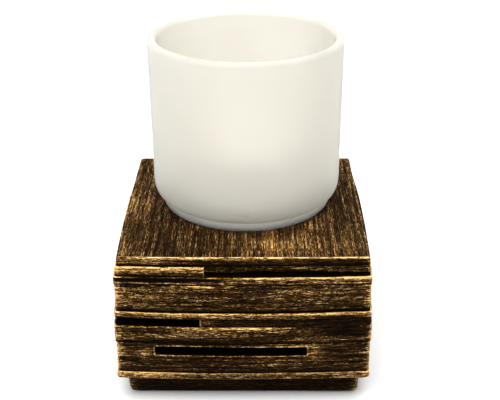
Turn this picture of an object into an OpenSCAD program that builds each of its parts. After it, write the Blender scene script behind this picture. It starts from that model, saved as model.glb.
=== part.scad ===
// Tealight holder: a square block of stacked slats glued round a solid core, with a
// frosted glass cup standing in a shallow seat on the top slab and a tealight inside it.
// Millimetres. The origin is the centre of the underside, +Z is up and -Y is the front.
// Every slat's four faces bow out a little, so each face is a wide arc between its corners.
// The back repeats the front, turned half a turn about Z.

/* [Block] */
// Width of the top slab across opposite faces, at the corners
slab_w = 90.6; // [88:0.2:92]
// Thickness of the top slab
slab_t = 3.4; // [3:0.1:5]
// Width of the square core that the slats are glued to
core_w = 72; // [66:1:76]
// Width of the felt sheet under the plinth
felt_w = 78; // [70:1:82]
// Thickness of the felt sheet
felt_t = 0.8; // [0.6:0.1:1.5]

/* [Plinth and slats, from the bottom up] */
// Width of the plinth at its top edge
plinth_w = 87.8; // [84:0.2:90]
// Height of the plinth
plinth_h = 6.5; // [5:0.5:9]
// How far the plinth's sides lean in by its bottom edge
plinth_taper = 0.4; // [0.2:0.1:2]
// Height of the worn lower edge of the plinth
plinth_edge_h = 1; // [0.5:0.1:2]
// How far the worn lower edge of the plinth runs in
plinth_edge_in = 0.6; // [0.2:0.1:1.5]
// How much the wear has taken off each upright corner of the plinth
plinth_wear = 1.2; // [0.3:0.1:3]
// Width of the bottom slat
bottom_slat_w = 94; // [92:0.2:96]
// Height of the bottom slat
bottom_slat_h = 5.1; // [4:0.1:7]
// Height of the bevel under the bottom slat
bottom_bevel_h = 2.6; // [1:0.1:3.5]
// How far the bevel under the bottom slat runs in
bottom_bevel_in = 3.2; // [1:0.1:4]
// Width of the slotted slat
slotted_slat_w = 93.4; // [92:0.2:95]
// Height of the slotted slat
slotted_slat_h = 13; // [10:0.5:16]
// Width of the middle slat
middle_slat_w = 94; // [92:0.2:96]
// Height of the middle slat
middle_slat_h = 7; // [5:0.5:9]
// Width across the gap strips
gap_strip_w = 93.2; // [91:0.2:95]
// Height of the gap strips, and so of the open gap between them
gap_strip_h = 3.4; // [2.5:0.1:3.9]
// Width of the lip slat
lip_slat_w = 93.8; // [92:0.2:96]
// Height of the lip slat
lip_slat_h = 2.4; // [2:0.1:4]
// Width of the wide slat
wide_slat_w = 92.2; // [90:0.2:94]
// Height of the wide slat
wide_slat_h = 11.1; // [8:0.5:14]
// Width of the collar slat
collar_slat_w = 92.8; // [91:0.2:95]
// Height of the collar slat
collar_slat_h = 3.2; // [2:0.1:4]
// Width across the upper strips
upper_strip_w = 91.4; // [90:0.2:93]
// Height of the upper strips
upper_strip_h = 3.8; // [3:0.1:5]
// How far the faces of the tall slats bow out at their middle
deep_bow = 1.8; // [1:0.1:2.4]
// How far the faces of the thin slats bow out at their middle
slight_bow = 1.2; // [0.6:0.1:1.8]
// How far the faces of the slab bow out at their middle
slab_bow = 0.3; // [0.2:0.1:0.6]
// How much the wear has taken off each upright corner
corner_wear = 0.7; // [0.3:0.1:1.5]

/* [Slots and gaps] */
// Left end of the long slot in the front, from the middle
slot_left = 32.3; // [20:0.1:36]
// Right end of the long slot in the front, from the middle
slot_right = 23.3; // [15:0.1:36]
// Height of the long slot
slot_h = 3.4; // [2.5:0.1:3.9]
// Wood left above the long slot
slot_cover = 1.6; // [1:0.1:3]
// Corner radius of the long slot
slot_corner = 1; // [0.5:0.1:1.2]
// Left end of the front gap strip, from the middle
gap_end = 15.7; // [5:0.1:30]
// How far the gap is set back where it runs out at the side
gap_setback = 7; // [4:0.5:9]
// Right end of the proud part of the upper strip, from the middle
inset_end = 13.8; // [5:0.1:30]
// How far the inset part of the upper strip stands back
inset_depth = 2.5; // [1:0.1:4]

/* [Glass cup] */
// Height of the glass above the top slab
cup_h = 65.8; // [55:0.2:80]
// Diameter at the rim
cup_rim_d = 74.2; // [68:0.1:76]
// Diameter of the wall just above the heel
cup_wall_d = 73.3; // [69:0.1:75]
// Diameter of the foot
cup_foot_d = 66; // [54:0.5:68]
// Thickness of the wall
cup_wall_t = 3.6; // [3:0.1:4.5]
// Thickness of the floor
cup_floor_t = 7; // [6:0.5:9]
// Height of the bevelled foot under the heel
cup_heel_h = 4; // [3:0.5:7]
// How far the rounded heel stands out past the bevelled foot
cup_heel_out = 2.8; // [1.5:0.1:3]
// Height over which the heel rounds into the wall
cup_heel_round = 6; // [2:0.5:7]
// Inside radius between the floor and the wall
cup_fillet = 6; // [3:0.5:8]
// Depth of the hollow under the foot
cup_punt = 0.8; // [0.4:0.1:1.5]
// How far behind the block's middle the cup stands
cup_set_back = 9; // [0:0.5:9]
// How far to the right of the block's middle the cup stands
cup_set_right = 1; // [-2:0.5:2]
// Depth of the round seat in the top slab
seat_depth = 0.6; // [0.4:0.1:1.2]
// Clearance round the foot in its seat
seat_gap = 0.5; // [0.3:0.1:1]

/* [Tealight] */
// Diameter of the tealight's metal shell
tealight_d = 38; // [37:0.5:40]
// Height of the metal shell
tealight_h = 15; // [12:0.5:18]
// Wall of the metal shell
shell_t = 0.4; // [0.3:0.1:0.6]
// Depth of the wax below the shell's rim
wax_drop = 1.6; // [1:0.1:3]
// Diameter of the wick
wick_d = 1.6; // [1.2:0.1:2]
// Length of wick standing out of the wax
wick_out = 7; // [4:0.5:10]
// Diameter of the metal disc that holds the wick
sustainer_d = 12; // [9:0.5:15]

/* [Hidden] */

// Heights of the joints between the slats
z_plinth = felt_t;
z_bottom = z_plinth + plinth_h;
z_slotted = z_bottom + bottom_slat_h;
z_middle = z_slotted + slotted_slat_h;
z_gap = z_middle + middle_slat_h;
z_lip = z_gap + gap_strip_h;
z_wide = z_lip + lip_slat_h;
z_collar = z_wide + wide_slat_h;
z_upper = z_collar + collar_slat_h;
z_slab = z_upper + upper_strip_h;
z_top = z_slab + slab_t;

// The cup and the tealight stand on these levels
z_seat = z_top - seat_depth;
z_cup_floor = z_seat + cup_floor_t;
z_wax_top = z_cup_floor + tealight_h - wax_drop;

// The steps of an arc in an outline
arc_steps = 8;
// Facets of the wide arcs on the slats' faces, and of the round parts
face_fn = 720;
round_fn = 96;
// Reaches past a face, so that a cut leaves no skin
past = 1;

rim_round = cup_wall_t / 2;
cup_top = cup_h + seat_depth;
punt_r = cup_foot_d / 2 - 6;
shell_lip = 0.5;
sustainer_t = 0.5;
sustainer_neck_d = 3;
sustainer_neck_h = 3;

finish_dark = [0.16, 0.11, 0.06];
finish_gold = [0.45, 0.31, 0.12];
finish_black = [0.05, 0.045, 0.04];

// A point on an arc round (x, y), at each step from angle a to angle b
function arc(x, y, rx, ry, a, b) = [
    for (i = [0:arc_steps])
        let (t = a + (b - a) * i / arc_steps)
        [x + rx * cos(t), y + ry * sin(t)]
];

// A square block whose four upright faces bow out: w wide at its corners before they wore
module bowed_block(w, bow, z, h) {
    half = w / 2;
    face_r = (half * half + bow * bow) / (2 * bow);
    intersection() {
        intersection_for (turn = [0, 90, 180, 270])
            rotate(turn)
            translate([0, half + bow - face_r, z])
            cylinder(r = face_r, h = h, $fn = face_fn);
        translate([0, 0, z])
        cylinder(r = half * sqrt(2) - corner_wear, h = h, $fn = face_fn);
    }
}

// A bowed block with the core's square hole through it
module slat(w, bow, z, h) {
    difference() {
        bowed_block(w, bow, z, h);
        translate([-core_w / 2, -core_w / 2, z - past])
        cube([core_w, core_w, h + 2 * past]);
    }
}

// A cutting box from one corner to the opposite one, past the block's faces in height
module cut_box(x0, y0, x1, y1, z, h) {
    translate([x0, y0, z - past])
    cube([x1 - x0, y1 - y0, h + 2 * past]);
}

module base_felt() {
    color([0.1, 0.1, 0.11])
    translate([-felt_w / 2, -felt_w / 2, 0])
    cube([felt_w, felt_w, felt_t]);
}

// The plinth leans in a little towards its worn lower edge
module plinth() {
    top_half = plinth_w / 2;
    edge_half = top_half - plinth_taper;
    color(finish_dark)
    intersection() {
        translate([0, 0, z_plinth])
        cylinder(r = top_half * sqrt(2) - plinth_wear, h = plinth_h, $fn = face_fn);
        profile_block(z_plinth, [
            [edge_half - plinth_edge_in, 0], [edge_half, plinth_edge_h],
            [top_half, plinth_h], [top_half, plinth_h + past]
        ]);
    }
}

// A square block whose four faces follow a profile of [distance from the middle, height], upwards
module profile_block(z, profile) {
    intersection() {
        profile_pair(z, profile);
        rotate(90) profile_pair(z, profile);
    }
}

// The space between two opposite faces of such a block
module profile_pair(z, profile) {
    reach = 2 * profile[0][0];
    last = len(profile) - 1;
    translate([0, reach, z])
    rotate([90, 0, 0])
    linear_extrude(2 * reach)
    polygon(concat(profile, [for (i = [last:-1:0]) [-profile[i][0], profile[i][1]]]));
}

module core() {
    color(finish_black)
    translate([-core_w / 2, -core_w / 2, z_bottom])
    cube([core_w, core_w, z_slab - z_bottom]);
}

module bottom_slat() {
    face = bottom_slat_w / 2 + slight_bow;
    color(finish_gold)
    intersection() {
        slat(bottom_slat_w, slight_bow, z_bottom, bottom_slat_h);
        profile_block(z_bottom, [
            [face - bottom_bevel_in, 0], [face, bottom_bevel_h], [face, bottom_slat_h + past]
        ]);
    }
}

// The long slot's cut, through the front wall of the slotted slat
module slot_cut() {
    z_slot = z_middle - slot_cover - slot_h;
    wall = slotted_slat_w / 2 + deep_bow - core_w / 2;
    for (x = [-slot_left + slot_corner, slot_right - slot_corner])
        for (z = [z_slot + slot_corner, z_slot + slot_h - slot_corner])
            translate([x, -core_w / 2 + past, z])
            rotate([90, 0, 0])
            cylinder(r = slot_corner, h = wall + 2 * past, $fn = round_fn);
    translate([-slot_left + slot_corner, -core_w / 2 - wall - past, z_slot])
    cube([slot_left + slot_right - 2 * slot_corner, wall + 2 * past, slot_h]);
    translate([-slot_left, -core_w / 2 - wall - past, z_slot + slot_corner])
    cube([slot_left + slot_right, wall + 2 * past, slot_h - 2 * slot_corner]);
}

module slotted_slat() {
    color(finish_dark)
    difference() {
        slat(slotted_slat_w, deep_bow, z_slotted, slotted_slat_h);
        slot_cut();
        rotate(180) slot_cut();
    }
}

module middle_slat() {
    color(finish_dark)
    slat(middle_slat_w, deep_bow, z_gap - middle_slat_h, middle_slat_h);
}

// The strip of the gap course that covers the right of the front and most of the right side
module gap_strip() {
    reach = gap_strip_w;
    side_end = gap_strip_w / 2 - gap_setback;
    difference() {
        slat(gap_strip_w, deep_bow, z_gap, gap_strip_h);
        cut_box(-reach, -reach, -gap_end, -core_w / 2, z_gap, gap_strip_h);
        cut_box(-reach, -core_w / 2, 0, reach, z_gap, gap_strip_h);
        cut_box(-past, core_w / 2, core_w / 2, reach, z_gap, gap_strip_h);
        cut_box(0, side_end, reach, reach, z_gap, gap_strip_h);
    }
}

module front_gap_strip() {
    color(finish_black) gap_strip();
}

module rear_gap_strip() {
    color(finish_black) rotate(180) gap_strip();
}

module lip_slat() {
    color(finish_gold)
    slat(lip_slat_w, deep_bow, z_lip, lip_slat_h);
}

module wide_slat() {
    color(finish_dark)
    slat(wide_slat_w, deep_bow, z_wide, wide_slat_h);
}

module collar_slat() {
    color(finish_gold)
    slat(collar_slat_w, slight_bow, z_collar, collar_slat_h);
}

// The strip that is proud at the left of the front and down the left side, and then
// stands back along the rear as far as the other strip's proud end
module upper_strip() {
    reach = upper_strip_w;
    inset_face = upper_strip_w / 2 - inset_depth;
    difference() {
        slat(upper_strip_w, slight_bow, z_upper, upper_strip_h);
        cut_box(-inset_end, -reach, reach, core_w / 2, z_upper, upper_strip_h);
        cut_box(inset_end, core_w / 2 - past, reach, reach, z_upper, upper_strip_h);
        cut_box(-reach, inset_face, reach, reach, z_upper, upper_strip_h);
    }
}

module left_upper_strip() {
    color(finish_gold) upper_strip();
}

module right_upper_strip() {
    color(finish_dark) rotate(180) upper_strip();
}

module top_slab() {
    color(finish_dark)
    difference() {
        bowed_block(slab_w, slab_bow, z_slab, slab_t);
        translate([cup_set_right, cup_set_back, z_seat])
        cylinder(d = cup_foot_d + 2 * seat_gap, h = seat_depth + past, $fn = round_fn);
    }
}

// The glass as one turned outline: under the foot, up the heel and the wall, over the
// rounded rim, and down inside to the floor
module glass_cup() {
    wall_r = cup_wall_d / 2;
    rim_r = cup_rim_d / 2;
    heel_top = cup_heel_h + cup_heel_round;
    inner_r = wall_r - cup_wall_t;
    outline = concat(
        [[0, cup_punt], [punt_r - cup_punt, cup_punt], [punt_r, 0], [cup_foot_d / 2, 0]],
        arc(wall_r - cup_heel_out, heel_top, cup_heel_out, cup_heel_round, -90, 0),
        arc(rim_r - rim_round, cup_top - rim_round, rim_round, rim_round, 0, 180),
        arc(inner_r - cup_fillet, cup_floor_t + cup_fillet, cup_fillet, cup_fillet, 0, -90),
        [[0, cup_floor_t]]
    );
    color([0.94, 0.93, 0.9, 0.9])
    translate([cup_set_right, cup_set_back, z_seat])
    rotate_extrude($fn = round_fn)
    polygon(outline);
}

// The tealight's thin shell, with a small rolled lip
module tealight_shell() {
    r = tealight_d / 2;
    color([0.8, 0.81, 0.82])
    translate([cup_set_right, cup_set_back, z_cup_floor])
    rotate_extrude($fn = round_fn)
    polygon([
        [0, 0], [r, 0], [r, tealight_h - shell_lip], [r + shell_lip, tealight_h - shell_lip],
        [r + shell_lip, tealight_h], [r - shell_t, tealight_h], [r - shell_t, shell_t], [0, shell_t]
    ]);
}

// The disc and neck that hold the wick upright at the bottom of the wax
module wick_sustainer() {
    color([0.75, 0.75, 0.76])
    translate([cup_set_right, cup_set_back, z_cup_floor + shell_t])
    difference() {
        union() {
            cylinder(d = sustainer_d, h = sustainer_t, $fn = round_fn);
            cylinder(d = sustainer_neck_d, h = sustainer_neck_h, $fn = round_fn);
        }
        translate([0, 0, sustainer_t])
        cylinder(d = wick_d, h = sustainer_neck_h, $fn = round_fn);
    }
}

module wick() {
    z_wick = z_cup_floor + shell_t + sustainer_t;
    color([0.93, 0.91, 0.86])
    translate([cup_set_right, cup_set_back, z_wick])
    cylinder(d = wick_d, h = z_wax_top + wick_out - z_wick, $fn = round_fn);
}

module wax() {
    z_wax = z_cup_floor + shell_t;
    color([0.96, 0.95, 0.92])
    translate([cup_set_right, cup_set_back, z_wax])
    difference() {
        cylinder(d = tealight_d - 2 * shell_t, h = z_wax_top - z_wax, $fn = round_fn);
        translate([0, 0, -past])
        cylinder(d = sustainer_d, h = sustainer_t + past, $fn = round_fn);
        translate([0, 0, -past])
        cylinder(d = sustainer_neck_d, h = sustainer_neck_h + past, $fn = round_fn);
        cylinder(d = wick_d, h = tealight_h, $fn = round_fn);
    }
}

base_felt();
plinth();
core();
bottom_slat();
slotted_slat();
middle_slat();
front_gap_strip();
rear_gap_strip();
lip_slat();
wide_slat();
collar_slat();
left_upper_strip();
right_upper_strip();
top_slab();
glass_cup();
tealight_shell();
wax();
wick();
wick_sustainer();
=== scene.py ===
"""Looks of the tealight holder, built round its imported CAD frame.

Lengths are in millimetres until a mesh is written. A side is numbered 0 front, 1 right, 2 back, 3 left;
s runs along a side, anticlockwise seen from above, from the middle of the side.
"""

import math

import bpy
import numpy as np
from mathutils import Matrix, Vector


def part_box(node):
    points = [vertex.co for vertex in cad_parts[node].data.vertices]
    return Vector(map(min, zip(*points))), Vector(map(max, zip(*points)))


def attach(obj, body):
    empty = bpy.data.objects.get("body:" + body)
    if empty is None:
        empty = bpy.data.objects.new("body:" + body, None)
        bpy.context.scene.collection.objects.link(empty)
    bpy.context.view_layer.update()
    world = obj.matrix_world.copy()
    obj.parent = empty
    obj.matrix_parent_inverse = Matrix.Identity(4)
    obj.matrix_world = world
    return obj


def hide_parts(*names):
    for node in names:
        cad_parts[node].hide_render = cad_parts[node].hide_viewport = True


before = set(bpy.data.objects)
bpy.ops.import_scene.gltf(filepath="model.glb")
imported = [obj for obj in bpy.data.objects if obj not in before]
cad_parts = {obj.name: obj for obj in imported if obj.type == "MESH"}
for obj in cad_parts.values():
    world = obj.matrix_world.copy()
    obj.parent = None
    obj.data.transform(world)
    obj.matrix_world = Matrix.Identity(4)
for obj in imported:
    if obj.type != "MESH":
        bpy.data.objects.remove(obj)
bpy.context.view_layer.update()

MM = 0.001
SIDE_NORMALS = np.array([(0, -1), (1, 0), (0, 1), (-1, 0)], float)
SIDE_TANGENTS = np.array([(1, 0), (0, 1), (-1, 0), (0, -1)], float)
FRONT, RIGHT, BACK, LEFT = 0, 1, 2, 3
CORE_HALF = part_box("core")[1].x / MM
# A distance that is larger than any on the object
FAR = 1e3

# The spacing of a wall's columns: on the slats, on the slab and on the felt; and of its rows
COLUMN, SLAB_COLUMN, FELT_COLUMN, ROW = 0.45, 0.33, 0.8, 0.2

# How far the slats' faces bow out at their middle
DEEP_BOW, SLIGHT_BOW, FLAT_BOW = 1.8, 1.2, 0.3
# How much each part's upright corners are worn off
SLAT_WEAR, PLINTH_WEAR, FELT_WEAR = 0.45, 1.0, 1.5
# How deep the brushed grooves are
GROOVE, THIN_GROOVE, WIDE_GROOVE, PLINTH_GROOVE, FELT_NAP = 0.22, 0.15, 0.28, 0.15, 0.3
# How far the slats' joints wander up and down, and the heights between which they lie
JOINT_WANDER, LOWEST_JOINT, HIGHEST_JOINT = 0.2, 1, 59
# How far a slat's face and the slab's side swell in and out
SLAT_SWELL, SLAB_SWELL = 0.25, 0.3

# The long slot: its ends, its height, the slat left above it, and its corners' and its rim's rounding
SLOT_LEFT, SLOT_RIGHT, SLOT_HEIGHT, SLOT_COVER = -32.3, 23.3, 3.4, 1.6
SLOT_CORNER, SLOT_RIM = 1.0, 0.25
# Where the strips of the gap course and of the upper course end
GAP_END, GAP_SETBACK = -15.7, 7.0
INSET_END, INSET_DEPTH = -13.8, 2.5
# The bevel under the bottom slat, and the plinth's two steps inwards
BEVEL_HEIGHT, BEVEL_IN = 2.6, 3.2
PLINTH_TAPER, PLINTH_LIP, PLINTH_LIP_IN = 0.4, 1.0, 0.3

# The slab's seat for the glass, how deep its top is brushed, and the rings of points on its top
SEAT_RADIUS, TOP_GROOVE, TOP_RINGS = 33.5, 0.16, 54

# The glass cup: outer radii, thicknesses, the rounding inside, and the hollow under its foot
FOOT_RADIUS, WALL_RADIUS, WALL, CUP_FLOOR, FILLET, PUNT, PUNT_IN = 33, 36.65, 3.6, 7, 6, 0.8, 6
# Its heel: where its rounding starts, how far that reaches out and how high it is
HEEL_HEIGHT, HEEL_OUT, HEEL_ROUND = 4, 2.8, 6

# The tealight: its shell's thickness, the reach of its lip, and the depth and number of its flutes
SHELL, SHELL_LIP, FLUTE_DEPTH, FLUTES = 0.4, 0.5, 0.09, 72
# The wick sustainer's disc and neck, the room round them, and the room round the wax
DISC, NECK_RADIUS, ROOM, WAX_ROOM = 0.5, 1.5, 0.05, 0.12

# The camera: its place in metres, its turn, dip and roll in degrees, and its lens in millimetres
CAMERA_PLACE = (0.0048, -0.3495, 0.2270)
CAMERA_YAW, CAMERA_DIP, CAMERA_ROLL = -0.392, 25.43, -0.225
CAMERA_LENS, CAMERA_SENSOR = 70.55, 36
# Each light's name, place, target, size in metres and power in watts
LIGHTS = (("key", (-0.6, -0.7, 1.1), (0, 0, 0.06), 0.9, 5.2),
          ("fill", (0.9, -0.8, 0.5), (0, 0, 0.06), 0.8, 1.2),
          ("top", (0, 0.1, 1.3), (0, 0, 0.05), 1.6, 24))
# The surround's strength, and how far the floor reaches in metres
WORLD_LIGHT, FLOOR_REACH = 0.6, 6

# Each part's own seed for its grain and its wear
SEEDS = {"base_felt": 11, "plinth": 21, "bottom_slat": 31, "slotted_slat": 41, "middle_slat": 51,
         "front_gap_strip": 61, "rear_gap_strip": 66, "lip_slat": 71, "wide_slat": 81,
         "collar_slat": 91, "left_upper_strip": 101, "right_upper_strip": 106, "top_slab": 111}

# The brushed grain: each size of stroke's length, width and share of the height
STROKES = ((34, 0.85, 0.38), (15, 0.5, 0.36), (6, 0.32, 0.26))
# How far apart the parts lie in the grain's space, and the slab's top's place and stretch there
GRAIN_STEP, TOP_GRAIN_OFFSET, TOP_GRAIN_STRETCH = 7.3, 400, 2.5
# How much gold shows on the ledges between the slats: kept low, as painted shade
LEDGE_SHADED_GOLD = -0.05

# How much gold each part shows: over its faces, with their ridges and clouds; on its top and lower
# edges, corners and ends, where a negative value at the lower edge is painted shade along the seam
# under the slat; and in patches of (side, middle, height from 0 to 1, half length, half height, amount)
PLINTH = {"face": 0.1, "ridges": 0.05, "clouds": 0.06, "top": 0.1, "low": 0.05, "corner": 0.4,
          "corner_width": 2}
BOTTOM = {"face": 0.44, "clouds": 0.25, "top": 0.8, "low": -0.4, "corner": 0.2}
SLOTTED = {"face": 0.23, "top": 0.2, "low": -0.7, "low_width": 0.4, "corner": 0.5, "patches": (
    (FRONT, -36, 0.62, 2.5, 0.3, 0.25), (FRONT, 26.5, 0.66, 2.5, 0.25, 0.3),
    (BACK, -40, 0.5, 4, 0.6, 0.2), (LEFT, 10, 0.5, 14, 0.5, 0.15), (RIGHT, -20, 0.4, 12, 0.5, 0.15))}
MIDDLE = {"face": 0.31, "top": 0.2, "low": -0.9, "low_width": 0.4, "corner": 0.45, "patches": (
    (FRONT, 28, 0.25, 9, 0.3, 0.15), (FRONT, 36, 0.85, 9, 0.4, -0.3), (FRONT, 0, 0.97, 16, 0.06, 0.45),
    (BACK, 0, 0.5, 20, 0.5, 0.15))}
GAP = {"face": 0.16, "ridges": 0.1, "clouds": 0.12, "top": 0.05, "low": 0.0, "corner": 0.1, "end": 0.6,
       "patches": ((FRONT, 36, 0.5, 10, 1, -0.1), (FRONT, -13, 0.6, 3, 0.5, 0.25))}
LIP = {"face": 0.53, "top": 0.45, "low": -0.5, "corner": 0.3, "patches": ((FRONT, 38, 0.2, 9, 0.5, -0.4),)}
WIDE = {"face": 0.32, "top": 0.2, "low": -0.9, "low_width": 0.8, "corner": 0.5, "patches": (
    (FRONT, -12, 0.97, 10, 0.04, 0.4), (FRONT, -40, 0.5, 6, 0.5, 0.08), (LEFT, 0, 0.5, 20, 0.4, 0.1))}
COLLAR = {"face": 0.38, "top": 0.9, "low": -1.0, "low_width": 0.4, "corner": 0.3, "patches": (
    (FRONT, 18, 0.5, 24, 0.6, 0.06), (FRONT, -31, 0.85, 18, 0.38, -0.95),
    (FRONT, -31, 0.3, 20, 0.14, 0.35))}
UPPER_LEFT = {"face": 0.5, "top": 0.55, "low": -0.4, "corner": 0.2, "patches": (
    (FRONT, -42, 0.1, 20, 0.2, -0.5),)}
UPPER_RIGHT = {"face": 0.3, "clouds": 0.2, "top": 0.0, "low": -0.2, "corner": 0.3, "end": 0.4}
SLAB_SIDE = {"face": 0.27, "top": 0.65, "top_share": 0.3, "low": -0.7, "low_width": 0.5, "corner": 0.35,
             "patches": ((FRONT, -36, 0.6, 12, 0.5, 0.2), (FRONT, 5, 0.8, 12, 0.4, 0.12))}
FELT = {"face": 0, "clouds": 0.25, "top": 0, "low": 0, "corner": 0}
# The slab's top has clouds of (middle x, middle y, half width, half length, amount)
SLAB_TOP = {"face": 0.34, "clouds": (
    (14, -36, 18, 8, 0.22), (-40, -6, 6, 14, 0.1), (-42, -40, 4, 6, 0.1), (1, 0, 36, 36, -0.04))}


# ---- noise


def lumps(x, y, seed, wrap=256):
    """Smooth noise from 0 to 1 with one lump a unit, which repeats along x after wrap units."""
    size = 256
    table = np.random.default_rng(seed).random((size, size))
    x, y = np.broadcast_arrays(x, y)
    x0, y0 = np.floor(x).astype(int), np.floor(y).astype(int)
    fx, fy = x - x0, y - y0
    fx, fy = fx * fx * (3 - 2 * fx), fy * fy * (3 - 2 * fy)
    xa, xb = x0 % wrap, (x0 + 1) % wrap
    ya, yb = y0 % size, (y0 + 1) % size
    low = table[xa, ya] * (1 - fx) + table[xb, ya] * fx
    high = table[xa, yb] * (1 - fx) + table[xb, yb] * fx
    return low * (1 - fy) + high * fy


def strokes(along, across, around, seed):
    """How high the brushed grain stands, from 0 to 1: strokes in three sizes that wander a little."""
    height = 0
    sway = 1.6 * lumps(along / around * 9, across / 9, seed, 9)
    for number, (length, width, share) in enumerate(STROKES):
        count = min(250, max(3, round(around / length)))
        stroke = lumps(along / around * count, (across + sway) / width, seed + 1 + number, count)
        height += share * stroke
    return np.clip((height - 0.5) * 1.9 + 0.5, 0, 1)


def rounding(distance, radius):
    """How far a surface draws back at this distance from an edge rounded to radius."""
    short = np.clip(radius - distance, 0, radius)
    return radius - np.sqrt(np.maximum(radius * radius - short * short, 0))


def glow(distance, width):
    """Falls from 1 at an edge to nothing a few widths away."""
    return np.exp(-np.maximum(distance, 0) / width)


# ---- meshes


def build(name, points, body, node, materials, paint=None, ends="join", sides="join",
          hole=None, bridge=(), zones=None):
    """A closed mesh from rows of columns of points, (row, column, xyz), with its faces' fronts outwards.

    ends says how the first and the last row close: "join" to each other, or "pole" each to a point.
    sides says how the first and the last column close: "join" to each other, or "cap" each with a face.
    paint holds values for each point; hole masks the quads left out, and bridge is its rim's faces.
    zones gives each row of quads its material's number.
    """
    rows, columns = points.shape[:2]
    number = np.arange(rows * columns).reshape(rows, columns)
    co = points.reshape(-1, 3)
    low = number if ends == "join" else number[:-1]
    high = np.roll(number, -1, 0) if ends == "join" else number[1:]
    if sides == "join":
        quads = np.stack([low, np.roll(low, -1, 1), np.roll(high, -1, 1), high], -1)
    else:
        quads = np.stack([low[:, :-1], low[:, 1:], high[:, 1:], high[:, :-1]], -1)
    quads = quads.reshape(-1, 4) if hole is None else quads[~hole]
    corners = [quads.ravel()]
    sizes = [np.full(len(quads), 4)]
    if len(bridge):
        corners.append(np.array(bridge).ravel())
        sizes.append(np.full(len(bridge), 4))
    if ends == "pole":
        co = np.concatenate([co, points[0].mean(0)[None], points[-1].mean(0)[None]])
        first, last = number[0], number[-1]
        pole = np.full(columns, rows * columns)
        corners.append(np.stack([np.roll(first, -1), first, pole], -1).ravel())
        corners.append(np.stack([last, np.roll(last, -1), pole + 1], -1).ravel())
        sizes.append(np.full(2 * columns, 3))
    if sides == "cap":
        corners += [number[:, 0], number[::-1, -1]]
        sizes.append(np.array([rows, rows]))
    corners, sizes = np.concatenate(corners), np.concatenate(sizes)
    used, corners = np.unique(corners, return_inverse=True)
    co = co[used]
    mesh = bpy.data.meshes.new(name)
    mesh.vertices.add(len(co))
    mesh.vertices.foreach_set("co", (co * MM).ravel())
    mesh.loops.add(len(corners))
    mesh.loops.foreach_set("vertex_index", corners.astype(np.int32))
    mesh.polygons.add(len(sizes))
    mesh.polygons.foreach_set("loop_start", (np.cumsum(sizes) - sizes).astype(np.int32))
    mesh.polygons.foreach_set("use_smooth", sizes < 5)
    for label, values in (paint or {}).items():
        values = values.reshape(rows * columns, -1)
        values = np.concatenate([values, values[:1], values[-1:]])[used]
        kind, field = ("FLOAT_VECTOR", "vector") if values.shape[1] == 3 else ("FLOAT", "value")
        mesh.attributes.new(label, kind, "POINT").data.foreach_set(field, values.astype(np.float32).ravel())
    if zones is not None:
        numbers = np.zeros(len(sizes), np.int32)
        numbers[:len(quads)] = np.repeat(zones, columns)
        numbers[len(quads):len(quads) + columns] = zones[0]
        mesh.polygons.foreach_set("material_index", numbers)
    mesh.update(calc_edges=True)
    finish_piece(name, mesh, body, node, materials)


def finish_piece(name, mesh, body, node, materials):
    """Puts a mesh into the scene with its materials, on its body, in its CAD node's place."""
    piece = bpy.data.objects.new(name, mesh)
    bpy.context.scene.collection.objects.link(piece)
    for material in materials:
        mesh.materials.append(material)
    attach(piece, body)
    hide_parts(node)


def grain_vector(along, across, around, offset):
    """Where a point lies in the brushed grain: round a circle as long as the outline, with no seam."""
    radius = around / (2 * math.pi)
    angle = along / radius
    angle, across = np.broadcast_arrays(angle, across)
    return np.stack([radius * np.cos(angle), radius * np.sin(angle), across + offset], -1)


# ---- the slats' outline


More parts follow.
